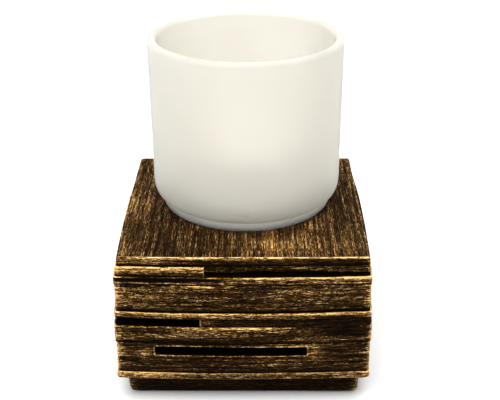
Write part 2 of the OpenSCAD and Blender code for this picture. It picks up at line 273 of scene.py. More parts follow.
class Outline:
    """A slat's outline in plan, in columns: each one's side, s, and distance to its corner and end."""

    def __init__(self, half, bow, sides, wear, breaks=(), column=COLUMN):
        self.half = half
        self.reach = np.array([half] * 4, float)
        self.bows = np.array([bow] * 4, float)
        for side, _, _, inset in sides:
            self.reach[side] -= inset
            self.bows[side] = 0 if inset else bow
        self.power = math.log(2) / -math.log(1 - wear / (half * math.sqrt(2)))
        self.closed = sides[0][1] is None
        self.around = 8 * half
        parts = [self.side_columns(*side, breaks, column) for side in sides]
        joined = (np.concatenate(values) for values in zip(*parts))
        self.side, self.s, self.inner_s, self.to_corner, self.to_end = joined

    def side_columns(self, side, start, end, _, breaks, column):
        """One side's columns, from start to end; None means the corner."""
        low = -self.reach[side - 1] if start is None else start
        high = self.reach[(side + 1) % 4] if end is None else end
        marks = [low, *(breaks if side in (FRONT, BACK) else ()), high]
        core = [-CORE_HALF if start is None else start, *marks[1:-1],
                CORE_HALF if end is None else min(end, CORE_HALF)]
        stretches = [np.linspace(a, b, max(2, round((b - a) / column)), endpoint=False)
                     for a, b in zip(marks, marks[1:])]
        s = np.concatenate([*stretches, [] if end is None else [high]])
        far = np.full(len(s), FAR)
        from_low, from_high = s - low, high - s
        to_corner = np.minimum(from_low if start is None else far, from_high if end is None else far)
        to_end = np.minimum(far if start is None else from_low, far if end is None else from_high)
        return np.full(len(s), side), s, np.interp(s, marks, core), to_corner, to_end

    def along(self, s):
        """The length round the outline."""
        return (self.side + (s / self.half + 1) / 2) * 2 * self.half

    def points(self, s, inward, taper=0.0):
        """Points at s, on an outline smaller by taper, drawn back by inward from its faces and corners."""
        out = self.reach[self.side] + self.bows[self.side] * np.clip(1 - (s / self.half) ** 2, 0, 1)
        beside = np.where(s > 0, self.reach[(self.side + 1) % 4], self.reach[self.side - 1])
        ratio = np.clip(np.abs(s) / beside, 0, 1)
        shrink = (1 + ratio ** self.power) ** (-1 / self.power)
        square = s[..., None] * SIDE_TANGENTS[self.side] + out[..., None] * SIDE_NORMALS[self.side]
        flat = shrink[..., None] * square
        ahead = np.roll(flat, -1, -2) - np.roll(flat, 1, -2)
        if not self.closed:
            ahead[..., 0, :] = flat[..., 1, :] - flat[..., 0, :]
            ahead[..., -1, :] = flat[..., -1, :] - flat[..., -2, :]
        ahead /= np.linalg.norm(ahead, axis=-1, keepdims=True)
        outward = np.stack([ahead[..., 1], -ahead[..., 0]], -1)
        smaller = 1 - np.asarray(taper) / self.half
        return flat * smaller[..., None] - inward[..., None] * outward

    def core_points(self, s):
        """Points on the core's faces."""
        return s[..., None] * SIDE_TANGENTS[self.side] + CORE_HALF * SIDE_NORMALS[self.side]


def edge_rows(height, *marks):
    """Heights of a wall's rows: close together at both edges, a row at each mark, and even between."""
    near = (0, 0.06, 0.14, 0.25, 0.4)
    rows = [*near, *(height - n for n in near)]
    stops = [near[-1], *marks, height - near[-1]]
    for a, b in zip(stops, stops[1:]):
        if b > a:
            rows += np.linspace(a, b, max(2, round((b - a) / ROW) + 1)).tolist()
    return np.unique(np.round(rows, 4))


def grid(s, levels):
    """Every column's s at every level, and every level at every s."""
    return [a.copy() for a in np.broadcast_arrays(s[None, :], levels[:, None])]


def raised(plan_points, z):
    """Points in plan, each raised to its height."""
    return np.concatenate([plan_points, np.broadcast_to(z, plan_points.shape[:-1])[..., None]], -1)


def ragged_edge(turn, seed, long, short):
    """How worn the edges are round the outline, from 0 to 1, with this many long and short bites."""
    return 0.6 * lumps(turn * long, 0.5, seed + 20, long) + 0.4 * lumps(turn * short, 0.5, seed + 21, short)


def worn_gold_and_shade(look, plan, s, up, height, ridge, seed):
    """How much gold shows on a wall, from its edges, corners, ends and hand-rubbed patches, less the
    painted shade along its lower edge.
    """
    turn = plan.along(s) / plan.around
    gold = look["face"] + look.get("ridges", 0.3) * (ridge - 0.5)
    gold += look.get("clouds", 0.15) * (lumps(turn * 26, up / 3.5, seed + 40, 26) - 0.5)
    ragged = 0.5 + lumps(turn * 90, up / 3, seed + 41, 90)
    top = look["top"] * np.where(np.isin(plan.side, (FRONT, BACK)), 1, look.get("top_share", 1))
    gold += top * glow(height - up, 0.28) * ragged
    # A negative low value paints shade along the lower edge, where it turns under into the seam.
    gold += look["low"] * glow(up, look.get("low_width", 0.3))
    corner = look["corner"] * glow(plan.to_corner, look.get("corner_width", 1.1))
    gold += corner * (0.5 + 0.5 * ragged)
    gold += look.get("end", 0.5) * glow(plan.to_end, 0.4)
    for side, middle, level, length, tall, amount in look.get("patches", ()):
        spot = ((s - middle) / length) ** 2 + ((up / height - level) / tall) ** 2
        gold += amount * np.exp(-spot) * (plan.side == side) * (0.4 + 0.6 * ragged)
    return gold


def wobble(plan, s, level):
    """How far the joint at this level wanders up or down, the same for both slats that share it."""
    if level < LOWEST_JOINT or level > HIGHEST_JOINT:
        return 0 * s
    return JOINT_WANDER * (lumps(plan.along(s) / plan.around * 24, 0.5, 900 + round(level * 10), 24) - 0.5)


# ---- the long slot


def slot_levels(height):
    """The slot's lower and upper edge, from the bottom of its slat."""
    return height - SLOT_COVER - SLOT_HEIGHT, height - SLOT_COVER


def slot_warp(plan, s, up, height):
    """Draws the columns and rows of the slotted walls in round the slot's four corners."""
    low, high = slot_levels(height)
    r, pull = SLOT_CORNER, 1.2 * SLOT_CORNER
    new_s, new_up = s, up
    for corner_s, into_s in ((SLOT_LEFT, 1), (SLOT_RIGHT, -1)):
        for corner_up, into_up in ((low, 1), (high, -1)):
            ds, du = (new_s - corner_s) * into_s, (new_up - corner_up) * into_up
            on_level = (np.abs(du) < 1e-6) & (ds >= -1e-6) & (ds <= r)
            on_upright = (np.abs(ds) < 1e-6) & (du > 1e-6) & (du <= r)
            turn = np.radians(45) * (1 - np.where(on_level, ds, du) / r)
            far, near = r - r * np.sin(turn), r - r * np.cos(turn)
            away = np.hypot(ds, du)
            outside = ~on_level & ~on_upright & ((ds < 0) | (du < 0)) & (away < pull)
            drawn = (r - r / math.sqrt(2)) * (1 - away / pull) ** 2
            beside_s, beside_up = np.where(outside, ds + drawn, ds), np.where(outside, du + drawn, du)
            moved_s = np.where(on_level, far, np.where(on_upright, near, beside_s))
            moved_up = np.where(on_level, near, np.where(on_upright, far, beside_up))
            new_s, new_up = corner_s + moved_s * into_s, corner_up + moved_up * into_up
    slotted = np.isin(plan.side, (FRONT, BACK))[None, :]
    return np.where(slotted, new_s, s), np.where(slotted, new_up, up)


def slot_distance(plan, s, up, height):
    """Distance from a point of the wall to the slot's outline; far away on the sides without a slot."""
    low, high = slot_levels(height)
    ds = np.maximum(np.maximum(SLOT_LEFT - s, s - SLOT_RIGHT), 0)
    du = np.maximum(np.maximum(low - up, up - high), 0)
    return np.where(np.isin(plan.side, (FRONT, BACK)), np.hypot(ds, du), FAR)


def slot_hole(plan, levels, height):
    """The quads that the slot leaves out; levels are the rows' heights, None on roof and floor."""
    low, high = slot_levels(height)
    ahead = levels[1:] + levels[:1]
    rows = [a is not None and b is not None and low < (a + b) / 2 < high and abs(a - b) < height / 2
            for a, b in zip(levels, ahead)]
    middle = (plan.s + np.roll(plan.s, -1)) / 2
    columns = np.isin(plan.side, (FRONT, BACK)) & (plan.side == np.roll(plan.side, -1))
    columns &= (middle > SLOT_LEFT) & (middle < SLOT_RIGHT)
    return np.array(rows)[:, None] & columns[None, :]


def slot_bridge(hole, split):
    """The tunnel's faces, from the slot's rim on the outer wall to its rim on the core's side.

    Rows before split belong to the outer wall, which runs upwards; the others run downwards.
    """
    rows, columns = hole.shape
    number = np.arange(rows * columns).reshape(rows, columns)
    open_rows = np.flatnonzero(hole.any(1))
    outer, inner = open_rows[open_rows < split], open_rows[open_rows >= split]
    outer = [*outer, outer[-1] + 1]
    inner = [*inner, inner[-1] + 1][::-1]
    open_columns = np.flatnonzero(hole[outer[0]])
    faces = []
    for run in np.split(open_columns, np.flatnonzero(np.diff(open_columns) > 1) + 1):
        across = [*run, (run[-1] + 1) % columns]
        rims = []
        for levels in (outer, inner):
            rims.append([number[levels[0], c] for c in across]
                        + [number[k, across[-1]] for k in levels[1:]]
                        + [number[levels[-1], c] for c in across[-2::-1]]
                        + [number[k, across[0]] for k in levels[-2:0:-1]])
        rim, back = rims
        faces += [(a, b, c, d) for a, b, c, d in zip(rim, rim[1:] + rim[:1], back[1:] + back[:1], back)]
    return faces


# ---- the wooden-looking parts


# A slat that goes all the way round: each side from corner to corner, and not set in
FULL = tuple((side, None, None, 0) for side in range(4))
# Where the rings of a slat's roof and floor lie, from its face at 0 to the core at 1
LEDGE_RINGS = np.array([0.04, 0.1, 0.2, 0.4])[:, None, None]
# Where the rings of a block's top and bottom lie, from its edge at 0 to its middle at 1
CAP_RINGS = np.array([0.02, 0.06, 0.15, 0.4, 0.7])[:, None, None]


def measure(name, bow):
    """A CAD node's half width at its corners, its lowest height and its own height."""
    low, high = (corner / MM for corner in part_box(name))
    return max(abs(low.x), abs(high.x), abs(low.y), abs(high.y)) - bow, low.z, high.z - low.z


def slat_relief(plan, s, up, height, ridge, seed, groove):
    """How far a slat's face draws back: worn edges, rounded ends, brushed grooves and a slow swell."""
    turn = plan.along(s) / plan.around
    ragged = ragged_edge(turn, seed, 75, 200)
    inward = rounding(height - up, 0.22 + 0.4 * ragged) + rounding(up, 0.5 - 0.3 * ragged)
    inward = inward + rounding(plan.to_end[None, :], 0.45) + groove * (0.5 - ridge)
    return inward + SLAT_SWELL * (lumps(turn * 12, up / 12, seed + 22, 12) - 0.5)


def slat_inside(plan, floor_z, levels, height, slotted):
    """A slat's wall against the core, from the top down: its points and its rows' heights."""
    inner_levels = [height, 0.0]
    if slotted:
        low, high = slot_levels(height)
        inner_levels = [height, *(u for u in levels[::-1] if low - 1e-3 < u < high + 1e-3), 0.0]
    s, up = grid(plan.inner_s, np.array(inner_levels))
    if slotted:
        s, up = slot_warp(plan, s, up, height)
    return raised(plan.core_points(s), floor_z + up), inner_levels


def slat_paint(plan, s, up, height, gold, outer, points, seed):
    """The grain and the gold of a whole slat, carried on from its face over the rest, with painted shade on
    its ledges and darker painted shade deep inside.
    """
    deep = np.linalg.norm(points[len(outer):, :, :2] - outer[-1, :, :2], axis=-1)
    across = np.concatenate([up, height + deep])
    along = np.concatenate([plan.along(s), np.broadcast_to(plan.along(s[-1]), deep.shape)])
    # Painted shade: the ledges fall from the face's gold to a low level, and go darker still more than 7 mm
    # in, inside the slot and the gaps.
    shaded_ledge = (gold[-1] - LEDGE_SHADED_GOLD) * glow(deep, 0.3) + LEDGE_SHADED_GOLD - 0.5 * (deep > 7)
    return {"grain": grain_vector(along, across, plan.around, seed * GRAIN_STEP),
            "gold": np.concatenate([gold, shaded_ledge])}


def make_slat(name, bow, look, material, sides=FULL, groove=GROOVE, lean=None, slotted=False):
    """A slat that rings the core, or a strip that follows it along some sides."""
    seed = SEEDS[name]
    half, floor_z, height = measure(name, bow)
    breaks = (SLOT_LEFT, SLOT_RIGHT) if slotted else ()
    plan = Outline(half, bow, sides, SLAT_WEAR, breaks)
    levels = edge_rows(height, *(slot_levels(height) if slotted else ()))
    s, up = grid(plan.s, levels)
    if slotted:
        s, up = slot_warp(plan, s, up, height)
    ridge = strokes(plan.along(s), up, plan.around, seed)
    inward = slat_relief(plan, s, up, height, ridge, seed, groove)
    gold = worn_gold_and_shade(look, plan, s, up, height, ridge, seed)
    taper = lean(up, height) if lean else 0 * up
    if slotted:
        gap = slot_distance(plan, s, up, height)
        inward += rounding(gap, SLOT_RIM)
        # A bright worn line just outside the slot's rim, and painted shade at the rim itself, which carries
        # on into the slot.
        gold = gold + 0.55 * glow(np.abs(gap - 0.35), 0.2) - 0.5 * glow(gap, 0.08)
    rise = up / height
    z = floor_z + up
    z = z + wobble(plan, s, floor_z) * (1 - rise) + wobble(plan, s, floor_z + height) * rise
    outer = raised(plan.points(s, inward, taper), z)
    inner, inner_levels = slat_inside(plan, floor_z, levels, height, slotted)
    roof = outer[-1] * (1 - LEDGE_RINGS) + inner[0] * LEDGE_RINGS
    floor = inner[-1] * LEDGE_RINGS[::-1] + outer[0] * (1 - LEDGE_RINGS[::-1])
    points = np.concatenate([outer, roof, inner, floor])

    hole, bridge = None, ()
    if slotted:
        steps = [*levels.tolist(), *[None] * len(roof), *inner_levels, *[None] * len(floor)]
        hole = slot_hole(plan, steps, height)
        bridge = slot_bridge(hole, len(outer))
    build(name + "_worn", points, "block", name, [material],
          slat_paint(plan, s, up, height, gold, outer, points, seed), "join",
          "join" if plan.closed else "cap", hole, bridge)


def make_block(name, look, material, wear, groove, lean=None, column=COLUMN):
    """A solid block with flat sides: the plinth or the felt."""
    seed = SEEDS[name]
    half, floor_z, height = measure(name, 0)
    plan = Outline(half, 0, FULL, wear, column=column)
    s, up = grid(plan.s, edge_rows(height))
    turn = plan.along(s) / plan.around
    ridge = strokes(plan.along(s), up, plan.around, seed)
    inward = rounding(height - up, 0.3) + rounding(up, 0.3) + groove * (0.5 - ridge)
    inward += SLAT_SWELL * (lumps(turn * 14, up / 9, seed + 22, 14) - 0.5)
    taper = lean(up, height) if lean else 0 * up
    gold = worn_gold_and_shade(look, plan, s, up, height, ridge, seed)
    outer = raised(plan.points(s, inward, taper), floor_z + up)
    middle_low, middle_high = np.array([0, 0, floor_z]), np.array([0, 0, floor_z + height])
    roof = outer[-1] * (1 - CAP_RINGS) + middle_high * CAP_RINGS
    floor = outer[0] * (1 - CAP_RINGS[::-1]) + middle_low * CAP_RINGS[::-1]
    points = np.concatenate([floor, outer, roof])
    blank = np.zeros(floor.shape[:2])
    across = np.concatenate([blank - 1, up, blank + height + 1])
    along = np.broadcast_to(plan.along(plan.s), across.shape)
    build(name + "_worn", points, "block", name, [material],
          {"grain": grain_vector(along, across, plan.around, seed * GRAIN_STEP),
           "gold": np.concatenate([blank, gold, blank])}, "pole")


def plinth_lean(up, height):
    """The plinth's two steps inwards towards its bottom edge."""
    wall = PLINTH_TAPER * np.clip(1 - (up - PLINTH_LIP) / (height - PLINTH_LIP), 0, 1)
    return wall + PLINTH_LIP_IN * np.clip(1 - up / PLINTH_LIP, 0, 1)


def bottom_lean(up, _):
    """The bevel under the bottom slat."""
    return BEVEL_IN * np.clip(1 - up / BEVEL_HEIGHT, 0, 1)


def top_grain(x, y):
    """How high the slab's top stands between its front-to-back brush lines, from 0 to 1."""
    sway = 0.9 * lumps(x / 11, y / 26, 301)
    height = 0.45 * lumps((x + sway) / 0.7, y / 34, 302) + 0.35 * lumps((x + sway) / 0.42, y / 15, 303)
    height += 0.2 * lumps((x + sway) / 1.6, y / 50, 304)
    return np.clip((height - 0.5) * 2 + 0.5, 0, 1)


def top_gold(x, y, ridge, to_edge, look):
    """How much gold shows on the slab's top: hand-rubbed clouds, worn edges, and less near the glass."""
    clouds = lumps(x / 17 + 40, y / 21 + 40, 305) * 0.6 + lumps(x / 7 + 40, y / 10 + 40, 306) * 0.4
    gold = look["face"] + 0.3 * (ridge - 0.5) + 0.25 * (clouds - 0.5)
    gold += 0.12 * glow(to_edge, 0.4) * (0.4 + lumps(x / 3 + y / 3, y / 5, 307))
    for middle_x, middle_y, wide, long, amount in look["clouds"]:
        gold += amount * np.exp(-((x - middle_x) / wide) ** 2 - ((y - middle_y) / long) ** 2)
    return gold


def slab_sides(plan, side_look, floor_z, height, seed):
    """The slab's four sides: their points, and the s, height and gold of each."""
    s, up = grid(plan.s, edge_rows(height))
    turn = plan.along(s) / plan.around
    ridge = strokes(plan.along(s), up, plan.around, seed)
    ragged = ragged_edge(turn, seed, 70, 190)
    inward = rounding(height - up, 0.35 + 0.5 * ragged) + rounding(up, 0.2 + 0.5 * ragged)
    inward += GROOVE * (0.5 - ridge)
    inward += SLAB_SWELL * (lumps(turn * 12, up / 12, seed + 22, 12) - 0.5)
    gold = worn_gold_and_shade(side_look, plan, s, up, height, ridge, seed)
    z = floor_z + up + wobble(plan, s, floor_z) * (1 - up / height)
    return raised(plan.points(s, inward), z), s, up, gold


def slab_top(edge, centre, ray, top_z, look):
    """The slab's brushed top, from its edge in to the seat's rim: its points and gold."""
    rim = centre + SEAT_RADIUS * ray
    rings = np.linspace(0, 1, TOP_RINGS)[1:, None, None]
    flat = edge * (1 - rings) + rim * rings
    x, y = flat[..., 0], flat[..., 1]
    ridge = top_grain(x, y)
    to_edge = np.linalg.norm(flat - edge, axis=-1)
    to_rim = np.linalg.norm(flat - rim, axis=-1)
    fade = np.clip(to_edge / 0.8, 0, 1) * np.clip(to_rim / 0.5, 0, 1)
    drop = TOP_GROOVE * (1 - ridge) * fade + rounding(to_rim, 0.15)
    return raised(flat, top_z - drop), top_gold(x, y, ridge, to_edge, look)


def make_slab(look, side_look, material):
    """The top slab, with the round seat for the glass sunk into it."""
    seed = SEEDS["top_slab"]
    half, floor_z, height = measure("top_slab", FLAT_BOW)
    plan = Outline(half, FLAT_BOW, FULL, SLAT_WEAR, column=SLAB_COLUMN)
    outer, s, up, side_gold = slab_sides(plan, side_look, floor_z, height, seed)
    edge = outer[-1, :, :2]
    glass_low, glass_high = (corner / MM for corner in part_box("glass_cup"))
    centre = np.array([(glass_low.x + glass_high.x) / 2, (glass_low.y + glass_high.y) / 2])
    seat_z = glass_low.z
    ray = edge - centre
    ray /= np.linalg.norm(ray, axis=-1, keepdims=True)
    top, gold = slab_top(edge, centre, ray, floor_z + height, look)
    rings = ((SEAT_RADIUS, seat_z + 0.1), (SEAT_RADIUS - 0.1, seat_z), (20, seat_z), (8, seat_z))
    seat = np.array([raised(centre + r * ray, z) for r, z in rings])
    under = np.array([raised(outer[0, :, :2] * share, floor_z) for share in (0.3, 0.7, 0.9, 0.97)])
    points = np.concatenate([under, outer, top, seat])

    offset = seed * GRAIN_STEP
    blank = np.zeros((len(seat), len(ray)))
    plain = grain_vector(plan.along(plan.s)[None, :], blank, plan.around, offset)
    top_place = grain_vector(np.zeros(top.shape[:2]), top[..., 0], plan.around, TOP_GRAIN_OFFSET)
    top_place[..., 0] += top[..., 1] / TOP_GRAIN_STRETCH
    grain = np.concatenate([plain, grain_vector(plan.along(s), up, plan.around, offset), top_place, plain])
    build("top_slab_worn", points, "block", "top_slab", [material],
          {"grain": grain, "gold": np.concatenate([blank, side_gold, gold, blank])}, "pole")


# ---- the turned parts


def arc(x, y, rx, ry, start, end, steps=10):
    """Points on an arc round (x, y), in degrees."""
    turns = np.radians(np.linspace(start, end, steps + 1))
    return [(x + rx * math.cos(t), y + ry * math.sin(t)) for t in turns]


def line(start, end, step):
    """Points from start to end, both left out, about step apart."""
    count = max(1, round(math.dist(start, end) / step))
    return [tuple(np.array(start) + (np.array(end) - start) * k / count) for k in range(1, count)]


def turned(outline, columns, centre, flute=None):
    """Points of an outline of (radius, height) turned round an upright axis through centre."""
    outline = np.array(outline)
    angle = np.linspace(0, 2 * math.pi, columns, endpoint=False)
    radius = np.repeat(outline[:, :1], columns, 1)
    height = np.repeat(outline[:, 1:], columns, 1)
    if flute is not None:
        radius = radius + flute(radius, height, angle[None, :])
    x, y = centre[0] + radius * np.cos(angle), centre[1] + radius * np.sin(angle)
    return np.stack([x, y, centre[2] + height], -1)


def node_centre(name):
    """The middle of a CAD node's foot."""
    low, high = (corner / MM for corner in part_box(name))
    return (low.x + high.x) / 2, (low.y + high.y) / 2, low.z


def node_size(name):
    """A CAD node's radius and height."""
    low, high = (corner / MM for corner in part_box(name))
    return (high.x - low.x) / 2, high.z - low.z


def make_cup(frosted, lightened_foot_glass):
    """The glass cup: hollow foot, bevel, rounded heel, wall that opens slightly, rounded rim, floor."""
    rim_r, height = node_size("glass_cup")
    heel_r = WALL_RADIUS - HEEL_OUT
    inner_r = WALL_RADIUS - WALL
    half_wall = WALL / 2
    punt_r = FOOT_RADIUS - PUNT_IN
    foot = [(8, PUNT), (16, PUNT), (punt_r - PUNT, PUNT), (punt_r - 0.3, 0.2), (punt_r, 0),
            (FOOT_RADIUS - 3, 0), *arc(FOOT_RADIUS - 0.5, 0.5, 0.5, 0.5, -90, -20, 5)]
    bevel = line(foot[-1], (heel_r, HEEL_HEIGHT), 0.5)
    heel = arc(heel_r, HEEL_HEIGHT + HEEL_ROUND, HEEL_OUT, HEEL_ROUND, -90, 0, 14)
    rim = arc(rim_r - half_wall, height - half_wall, half_wall, half_wall, 0, 180, 18)
    wall = line(heel[-1], rim[0], 1)
    fillet = arc(inner_r - FILLET, CUP_FLOOR + FILLET, FILLET, FILLET, 0, -90, 14)
    inside = line(rim[-1], fillet[0], 1)
    floor = [(r, CUP_FLOOR) for r in (22, 16, 10, 5)]
    profile = [*foot, *bevel, *heel, *wall, *rim, *inside, *fillet, *floor]
    points = turned(profile, 288, node_centre("glass_cup"))
    foot_rows = len(foot) + len(bevel)
    zones = np.zeros(len(points) - 1, int)
    zones[:foot_rows] = 1
    # Painted highlight: the rows where the bevel meets the heel are marked so the glass shows a light line
    # there.
    crease_highlight = np.zeros(points.shape[:2])
    crease_highlight[foot_rows - 1:foot_rows + 2] = 1
    build("glass_cup_frosted", points, "cup", "glass_cup", [frosted, lightened_foot_glass],
          {"crease_highlight": crease_highlight}, ends="pole", zones=zones)


def make_shell(material):
    """The tealight's thin shell, with fluted sides and a rolled lip."""
    radius, height = node_size("tealight_shell")
    radius = radius - SHELL_LIP
    inner = radius - SHELL

    def fluted(r, h, angle):
        flutes = FLUTE_DEPTH * np.cos(FLUTES * angle) * (r > radius - 1)
        return flutes * np.clip(h / 2, 0, 1) * np.clip((height - 1 - h) / 1.5, 0, 1)

    profile = [(12, 0.15), (15, 0), (radius - 0.8, 0), *arc(radius - 0.6, 0.6, 0.6, 0.6, -80, 0, 5),
               *line((radius, 0.6), (radius, height - 0.8), 0.6),
               *arc(radius + SHELL_LIP / 2 - 0.1, height - 0.3, 0.35, 0.3, -60, 150, 10),
               *line((inner, height - 0.3), (inner, SHELL + 0.5), 0.6),
               *arc(inner - 0.5, SHELL + 0.5, 0.5, 0.5, 0, -90, 4), (14, SHELL), (8, SHELL)]
    build("tealight_shell_fluted", turned(profile, 432, node_centre("tealight_shell"), fluted),
          "tealight", "tealight_shell", [material], ends="pole")


def make_wax(material):
    """The wax, which dips to the wick, climbs the shell and leaves room for the sustainer."""
    radius, height = node_size("wax")
    radius = radius - WAX_ROOM
    wick_r = node_size("wick")[0]
    hole_r = wick_r + ROOM
    disc_r, disc_h = (size + ROOM for size in node_size("wick_sustainer"))
    neck_r, step_h = NECK_RADIUS + ROOM, DISC + ROOM

    def level(r):
        climb, dip = math.exp(-(radius - r) / 0.8), math.exp(-(r - wick_r) / 2.4)
        return height + 0.35 * climb - 0.45 * dip - 0.35

    surface = [(r, level(r)) for r in np.linspace(radius, hole_r, 40)]
    profile = [(disc_r, 0), (15, 0), (radius - 0.5, 0), *arc(radius - 0.4, 0.4, 0.4, 0.4, -80, 0, 4),
               *line((radius, 0.4), surface[0], 0.8), *surface, (hole_r, disc_h), (neck_r, disc_h),
               (neck_r, step_h), (disc_r, step_h)]
    build("wax_candle", turned(profile, 128, node_centre("wax")), "tealight", "wax", [material])


def make_wick(material):
    """The wick, six strands twisted together."""
    radius, height = node_size("wick")
    rows = np.linspace(0, height, 90)[:, None]
    angle = np.linspace(0, 2 * math.pi, 36, endpoint=False)
    strand = radius * (0.84 + 0.16 * np.abs(np.cos(angle[None, :] * 3 + rows * 2.6)))
    strand = strand * np.clip((height - rows) / 0.5 + 0.55, 0, 1)
    x, y, foot_z = node_centre("wick")
    points = np.stack([x + strand * np.cos(angle), y + strand * np.sin(angle),
                       np.broadcast_to(foot_z + rows, strand.shape)], -1)
    build("wick_twisted", points, "tealight", "wick", [material], ends="pole")


# ---- materials


def linear(red, green, blue):
    """An 8-bit display colour as the linear colour that a shader takes."""
    shares = (c / 255 for c in (red, green, blue))
    return *((c / 12.92) if c < 0.0431 else ((c + 0.055) / 1.055) ** 2.4 for c in shares), 1


class Shader:
    """A material with one Principled shader, and short ways to add its nodes."""

    def __init__(self, name, **settings):
        self.material = bpy.data.materials.new(name)
        self.material.use_nodes = True
        self.tree = self.material.node_tree
        self.principled = next(n for n in self.tree.nodes if n.type == "BSDF_PRINCIPLED")
        for label, value in settings.items():
            self.principled.inputs[label.replace("_", " ")].default_value = value

    def add(self, kind, inputs=None, **settings):
        node = self.tree.nodes.new(kind)
        for label, value in settings.items():
            setattr(node, label, value)
        for label, value in (inputs or {}).items():
            if isinstance(value, bpy.types.NodeSocket):
                self.tree.links.new(value, node.inputs[label])
            else:
                node.inputs[label].default_value = value
        return node

    def feed(self, label, socket):
        self.tree.links.new(socket, self.principled.inputs[label])

    def noise(self, place, stretch, detail=2.0, roughness=0.5):
        """Noise with lumps as long, as wide and as high as stretch says, in the units of place."""
        scaled = self.add("ShaderNodeVectorMath", {0: place, 1: tuple(1 / k for k in stretch)},
                          operation="MULTIPLY").outputs[0]
        return self.add("ShaderNodeTexNoise", {"Vector": scaled, "Scale": 1.0, "Detail": detail,
                                               "Roughness": roughness}).outputs["Fac"]

    def maths(self, operation, first, second=0.0, third=0.0):
        node = self.add("ShaderNodeMath", operation=operation)
        for number, value in enumerate((first, second, third)):
            if isinstance(value, bpy.types.NodeSocket):
                self.tree.links.new(value, node.inputs[number])
            else:
                node.inputs[number].default_value = value
        return node.outputs[0]

    def spread(self, value, low, high, to_low, to_high):
        """Maps low to high onto to_low to to_high, clamped."""
        return self.add("ShaderNodeMapRange", {"Value": value, "From Min": low, "From Max": high,
                                               "To Min": to_low, "To Max": to_high}).outputs["Result"]

    def place(self):
        """A point's place on the object, in metres."""
        return self.add("ShaderNodeTexCoord").outputs["Object"]

    def ramp(self, value, *stops):
        """A colour ramp through (place, red, green, blue) stops, with 8-bit display colours."""
        node = self.add("ShaderNodeValToRGB", {"Fac": value})
        ramp = node.color_ramp
        while len(ramp.elements) < len(stops):
            ramp.elements.new(1.0)
        for element, (place, *colour) in zip(ramp.elements, stops):
            element.position = place
            element.color = linear(*colour)
        return node.outputs["Color"]

    def tint(self, value, *stops):
        """Colours the surface by a value, through a ramp."""
        self.feed("Base Color", self.ramp(value, *stops))

    def bump(self, height, distance, strength=1.0):
        node = self.add("ShaderNodeBump", {"Height": height, "Distance": distance, "Strength": strength})
        self.feed("Normal", node.outputs["Normal"])


# The bronze's colours from bare stain to bright metal, where it is rubbed thin and where it is gilt
BRONZE_BROWN = ((0.0, 7, 5, 3), (0.12, 18, 11, 5), (0.25, 32, 18, 5), (0.4, 52, 33, 11),
                (0.55, 76, 53, 24), (0.7, 113, 84, 47), (0.85, 172, 138, 88), (1.0, 236, 200, 142))
BRONZE_BRIGHT = ((0.0, 8, 4, 0), (0.12, 24, 11, 1), (0.25, 46, 23, 1), (0.4, 76, 43, 4),
                 (0.55, 110, 68, 12), (0.7, 148, 98, 28), (0.85, 198, 148, 68), (1.0, 250, 212, 138))
# The size of its strokes and specks in the grain's space, along, along and across, and their weights
LONG_STROKES, SHORT_STROKES, SPECKS = (14, 14, 0.28), (3, 3, 0.21), (0.8, 0.8, 0.22)
STROKE_WEIGHTS = (1.0, 2.3, 1.9)


def bronze_material(name, lift):
    """Black-brown stain with gold rubbed along the grain; lift adds gold all over."""
    shader = Shader(name, Specular_IOR_Level=0.01)
    grain = shader.add("ShaderNodeAttribute", attribute_name="grain").outputs["Vector"]
    gold = shader.add("ShaderNodeAttribute", attribute_name="gold").outputs["Fac"]
    long_strokes = shader.noise(grain, LONG_STROKES)
    short_strokes = shader.noise(grain, SHORT_STROKES)
    specks = shader.noise(grain, SPECKS, 2, 0.6)
    contrast = shader.spread(gold, 0.05, 0.4, 0.4, 1.0)
    amount = shader.maths("ADD", gold, lift)
    for texture, weight in zip((long_strokes, short_strokes, specks), STROKE_WEIGHTS):
        stroke = shader.maths("MULTIPLY", shader.maths("SUBTRACT", texture, 0.5), contrast)
        amount = shader.maths("MULTIPLY_ADD", stroke, weight, amount)
    brown, bright = shader.ramp(amount, *BRONZE_BROWN), shader.ramp(amount, *BRONZE_BRIGHT)
    gilt = shader.spread(gold, 0.4, 0.75, 0.0, 1.0)
    blend = shader.add("ShaderNodeMix", {"Factor": gilt, "A": brown, "B": bright}, data_type="RGBA")
    shader.feed("Base Color", blend.outputs["Result"])
    shader.feed("Metallic", shader.spread(amount, 0.3, 0.9, 0.0, 0.4))
    shader.feed("Roughness", shader.spread(amount, 0.1, 0.8, 0.6, 0.45))
    height = shader.maths("MULTIPLY_ADD", short_strokes, 0.6, shader.maths("MULTIPLY", specks, 0.4))
    shader.bump(height, 0.00025, 0.6)
    return shader.material


def core_material():
    """The stained block behind the slats: nearly black, with a faint grain."""
    shader = Shader("core_black_stain", Specular_IOR_Level=0.2, Roughness=0.8)
    streaks = shader.noise(shader.place(), (0.02, 0.02, 0.0006), 3)
    shader.tint(streaks, (0.3, 44, 40, 38), (0.8, 64, 58, 54))
    return shader.material


def felt_material():
    """Dark matted felt."""
    shader = Shader("dark_felt", Roughness=0.95, Specular_IOR_Level=0.1, Sheen_Weight=0.35,
                    Sheen_Roughness=0.5)
    place = shader.place()
    mat = shader.noise(place, (0.0009, 0.0009, 0.0009), 4, 0.7)
    fibres = shader.noise(place, (0.004, 0.0003, 0.0005), 2)
    both = shader.maths("MULTIPLY_ADD", mat, 0.6, shader.maths("MULTIPLY", fibres, 0.4))
    shader.tint(both, (0.3, 16, 16, 18), (0.75, 46, 45, 48))
    shader.bump(both, 0.0004)
    return shader.material


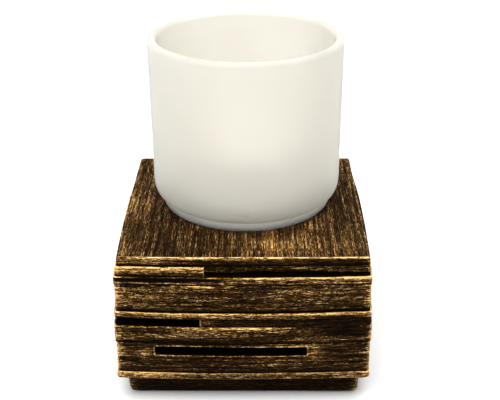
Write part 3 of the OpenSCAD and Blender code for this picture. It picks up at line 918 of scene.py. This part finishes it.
def frosted_material():
    """Acid-frosted glass: warm white, even, with a very fine grain."""
    shader = Shader("frosted_glass", IOR=1.45, Subsurface_Weight=0.5, Subsurface_Scale=0.006,
                    Subsurface_Radius=(1.0, 0.95, 0.85), Specular_IOR_Level=0.3)
    place = shader.place()
    cloud = shader.noise(place, (0.02, 0.02, 0.03), 2)
    fine = shader.noise(place, (0.0006, 0.0006, 0.0006), 2)
    shader.tint(cloud, (0.2, 237, 234, 226), (0.8, 242, 240, 233))
    # Painted highlight: along the marked crease the glass lets less light through, so it reads as a light
    # line.
    crease_highlight = shader.add("ShaderNodeAttribute", attribute_name="crease_highlight").outputs["Fac"]
    shader.feed("Transmission Weight", shader.spread(crease_highlight, 0.0, 1.0, 0.62, 0.1))
    shader.feed("Roughness", shader.spread(fine, 0.3, 0.7, 0.68, 0.78))
    shader.bump(fine, 0.00004, 0.5)
    return shader.material


def foot_glass_material():
    """The cup's bevelled foot, which took less of the frosting, painted whiter than the wall to lighten its
    shaded band.
    """
    shader = Shader("lightened_foot_glass", IOR=1.5, Transmission_Weight=0.15, Subsurface_Weight=1.0,
                    Subsurface_Scale=0.02, Subsurface_Radius=(1.0, 0.98, 0.94), Specular_IOR_Level=0.5)
    cloud = shader.noise(shader.place(), (0.006, 0.006, 0.006), 2)
    # Painted light: a whiter colour than the frosted wall, which lifts the foot's shaded band.
    shader.tint(cloud, (0.3, 247, 243, 233), (0.7, 252, 249, 240))
    shader.feed("Roughness", shader.spread(cloud, 0.3, 0.7, 0.4, 0.5))
    return shader.material


def aluminium_material():
    """The drawn aluminium of the tealight's shell and of its wick holder."""
    shader = Shader("drawn_aluminium", Metallic=1.0)
    place = shader.place()
    lines = shader.noise(place, (0.01, 0.01, 0.0004), 3)
    dull = shader.noise(place, (0.004, 0.004, 0.004), 2)
    shader.tint(dull, (0.2, 196, 198, 200), (0.8, 222, 223, 224))
    shader.feed("Roughness", shader.spread(lines, 0.3, 0.7, 0.22, 0.4))
    shader.bump(lines, 0.00003, 0.5)
    return shader.material


def wax_material():
    """White candle wax."""
    shader = Shader("candle_wax", Subsurface_Weight=0.7, Subsurface_Scale=0.004,
                    Subsurface_Radius=(1.0, 0.85, 0.7), Specular_IOR_Level=0.4)
    mottle = shader.noise(shader.place(), (0.003, 0.003, 0.003), 3)
    shader.tint(mottle, (0.2, 238, 233, 220), (0.8, 247, 244, 235))
    shader.feed("Roughness", shader.spread(mottle, 0.3, 0.7, 0.35, 0.5))
    shader.bump(mottle, 0.0002, 0.4)
    return shader.material


def wick_material():
    """Unburnt waxed cotton."""
    shader = Shader("waxed_cotton", Roughness=0.8, Sheen_Weight=0.2)
    fibres = shader.noise(shader.place(), (0.0002, 0.0002, 0.0012), 3)
    shader.tint(fibres, (0.25, 205, 197, 178), (0.75, 240, 235, 222))
    shader.bump(fibres, 0.0001)
    return shader.material


def floor_material():
    """A plain white studio floor."""
    shader = Shader("studio_white", Roughness=0.9, Specular_IOR_Level=0.1)
    faint = shader.noise(shader.place(), (0.5, 0.5, 0.5), 1)
    shader.tint(faint, (0.0, 250, 250, 250), (1.0, 252, 252, 252))
    return shader.material


def colour_cad(name, material):
    """Gives a part that keeps its CAD mesh its material."""
    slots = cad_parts[name].data.materials
    slots.clear()
    slots.append(material)


# ---- studio


def make_floor():
    """The floor, at the height of the felt's underside."""
    mesh = bpy.data.meshes.new("floor")
    corners = [(x * FLOOR_REACH, y * FLOOR_REACH, 0) for x, y in ((-1, -1), (1, -1), (1, 1), (-1, 1))]
    mesh.from_pydata(corners, [], [(0, 1, 2, 3)])
    mesh.materials.append(floor_material())
    floor = bpy.data.objects.new("floor", mesh)
    bpy.context.scene.collection.objects.link(floor)


def make_light(name, place, target, size, power):
    """A square soft light that faces target."""
    light = bpy.data.lights.new(name, "AREA")
    light.size = size
    light.energy = power
    lamp = bpy.data.objects.new(name, light)
    lamp.location = place
    lamp.rotation_euler = (Vector(target) - Vector(place)).to_track_quat("-Z", "Y").to_euler()
    bpy.context.scene.collection.objects.link(lamp)


def make_camera():
    """The camera, by its place, turn, dip and roll."""
    yaw, pitch, roll = (math.radians(a) for a in (CAMERA_YAW, CAMERA_DIP, CAMERA_ROLL))
    ahead = Vector((math.sin(yaw) * math.cos(pitch), math.cos(yaw) * math.cos(pitch), -math.sin(pitch)))
    right = Vector((math.cos(yaw), -math.sin(yaw), 0))
    above = right.cross(ahead)
    across = math.cos(roll) * right + math.sin(roll) * above
    up = math.cos(roll) * above - math.sin(roll) * right
    turn = Matrix((across, up, -ahead)).transposed()
    data = bpy.data.cameras.new("camera")
    data.lens = CAMERA_LENS
    data.sensor_width = CAMERA_SENSOR
    camera = bpy.data.objects.new("camera", data)
    camera.matrix_world = Matrix.Translation(CAMERA_PLACE) @ turn.to_4x4()
    bpy.context.scene.collection.objects.link(camera)
    bpy.context.scene.camera = camera


def make_world():
    """An even white surround."""
    world = bpy.data.worlds.new("studio")
    world.use_nodes = True
    world.node_tree.nodes["Background"].inputs["Color"].default_value = (1, 1, 1, 1)
    world.node_tree.nodes["Background"].inputs["Strength"].default_value = WORLD_LIGHT
    bpy.context.scene.world = world


# ---- the scene


def make_block_parts():
    """The fourteen parts of the block; the core keeps its CAD mesh."""
    dark, gold = bronze_material("rubbed_bronze_dark", 0.0), bronze_material("rubbed_bronze_gold", 0.04)
    colour_cad("core", core_material())
    make_block("base_felt", FELT, felt_material(), FELT_WEAR, FELT_NAP, column=FELT_COLUMN)
    make_block("plinth", PLINTH, dark, PLINTH_WEAR, PLINTH_GROOVE, plinth_lean)
    make_slat("bottom_slat", SLIGHT_BOW, BOTTOM, gold, lean=bottom_lean)
    make_slat("slotted_slat", DEEP_BOW, SLOTTED, dark, slotted=True)
    make_slat("middle_slat", DEEP_BOW, MIDDLE, dark)
    for name, side in (("front_gap_strip", FRONT), ("rear_gap_strip", BACK)):
        side_end = measure(name, DEEP_BOW)[0] - GAP_SETBACK
        make_slat(name, DEEP_BOW, GAP, dark,
                  ((side, GAP_END, None, 0), ((side + 1) % 4, None, side_end, 0)))
    make_slat("lip_slat", DEEP_BOW, LIP, gold, groove=THIN_GROOVE)
    make_slat("wide_slat", DEEP_BOW, WIDE, dark, groove=WIDE_GROOVE)
    make_slat("collar_slat", SLIGHT_BOW, COLLAR, gold, groove=THIN_GROOVE)
    for name, side, look in (("left_upper_strip", BACK, UPPER_LEFT),
                             ("right_upper_strip", FRONT, UPPER_RIGHT)):
        ahead, across = (side + 1) % 4, (side + 2) % 4
        make_slat(name, SLIGHT_BOW, look, gold, (
            (side, INSET_END, None, INSET_DEPTH), (ahead, None, None, 0), (across, None, INSET_END, 0)))
    make_slab(SLAB_TOP, SLAB_SIDE, dark)


def make_loose_parts():
    """The cup and the tealight; the wick sustainer keeps its CAD mesh."""
    aluminium = aluminium_material()
    colour_cad("wick_sustainer", aluminium)
    make_cup(frosted_material(), foot_glass_material())
    make_shell(aluminium)
    make_wax(wax_material())
    make_wick(wick_material())


def make_studio():
    """The floor, the surround, the lights and the camera."""
    make_floor()
    make_world()
    for light in LIGHTS:
        make_light(*light)
    make_camera()
    bpy.context.scene.view_settings.view_transform = "Standard"


make_block_parts()
make_loose_parts()
make_studio()
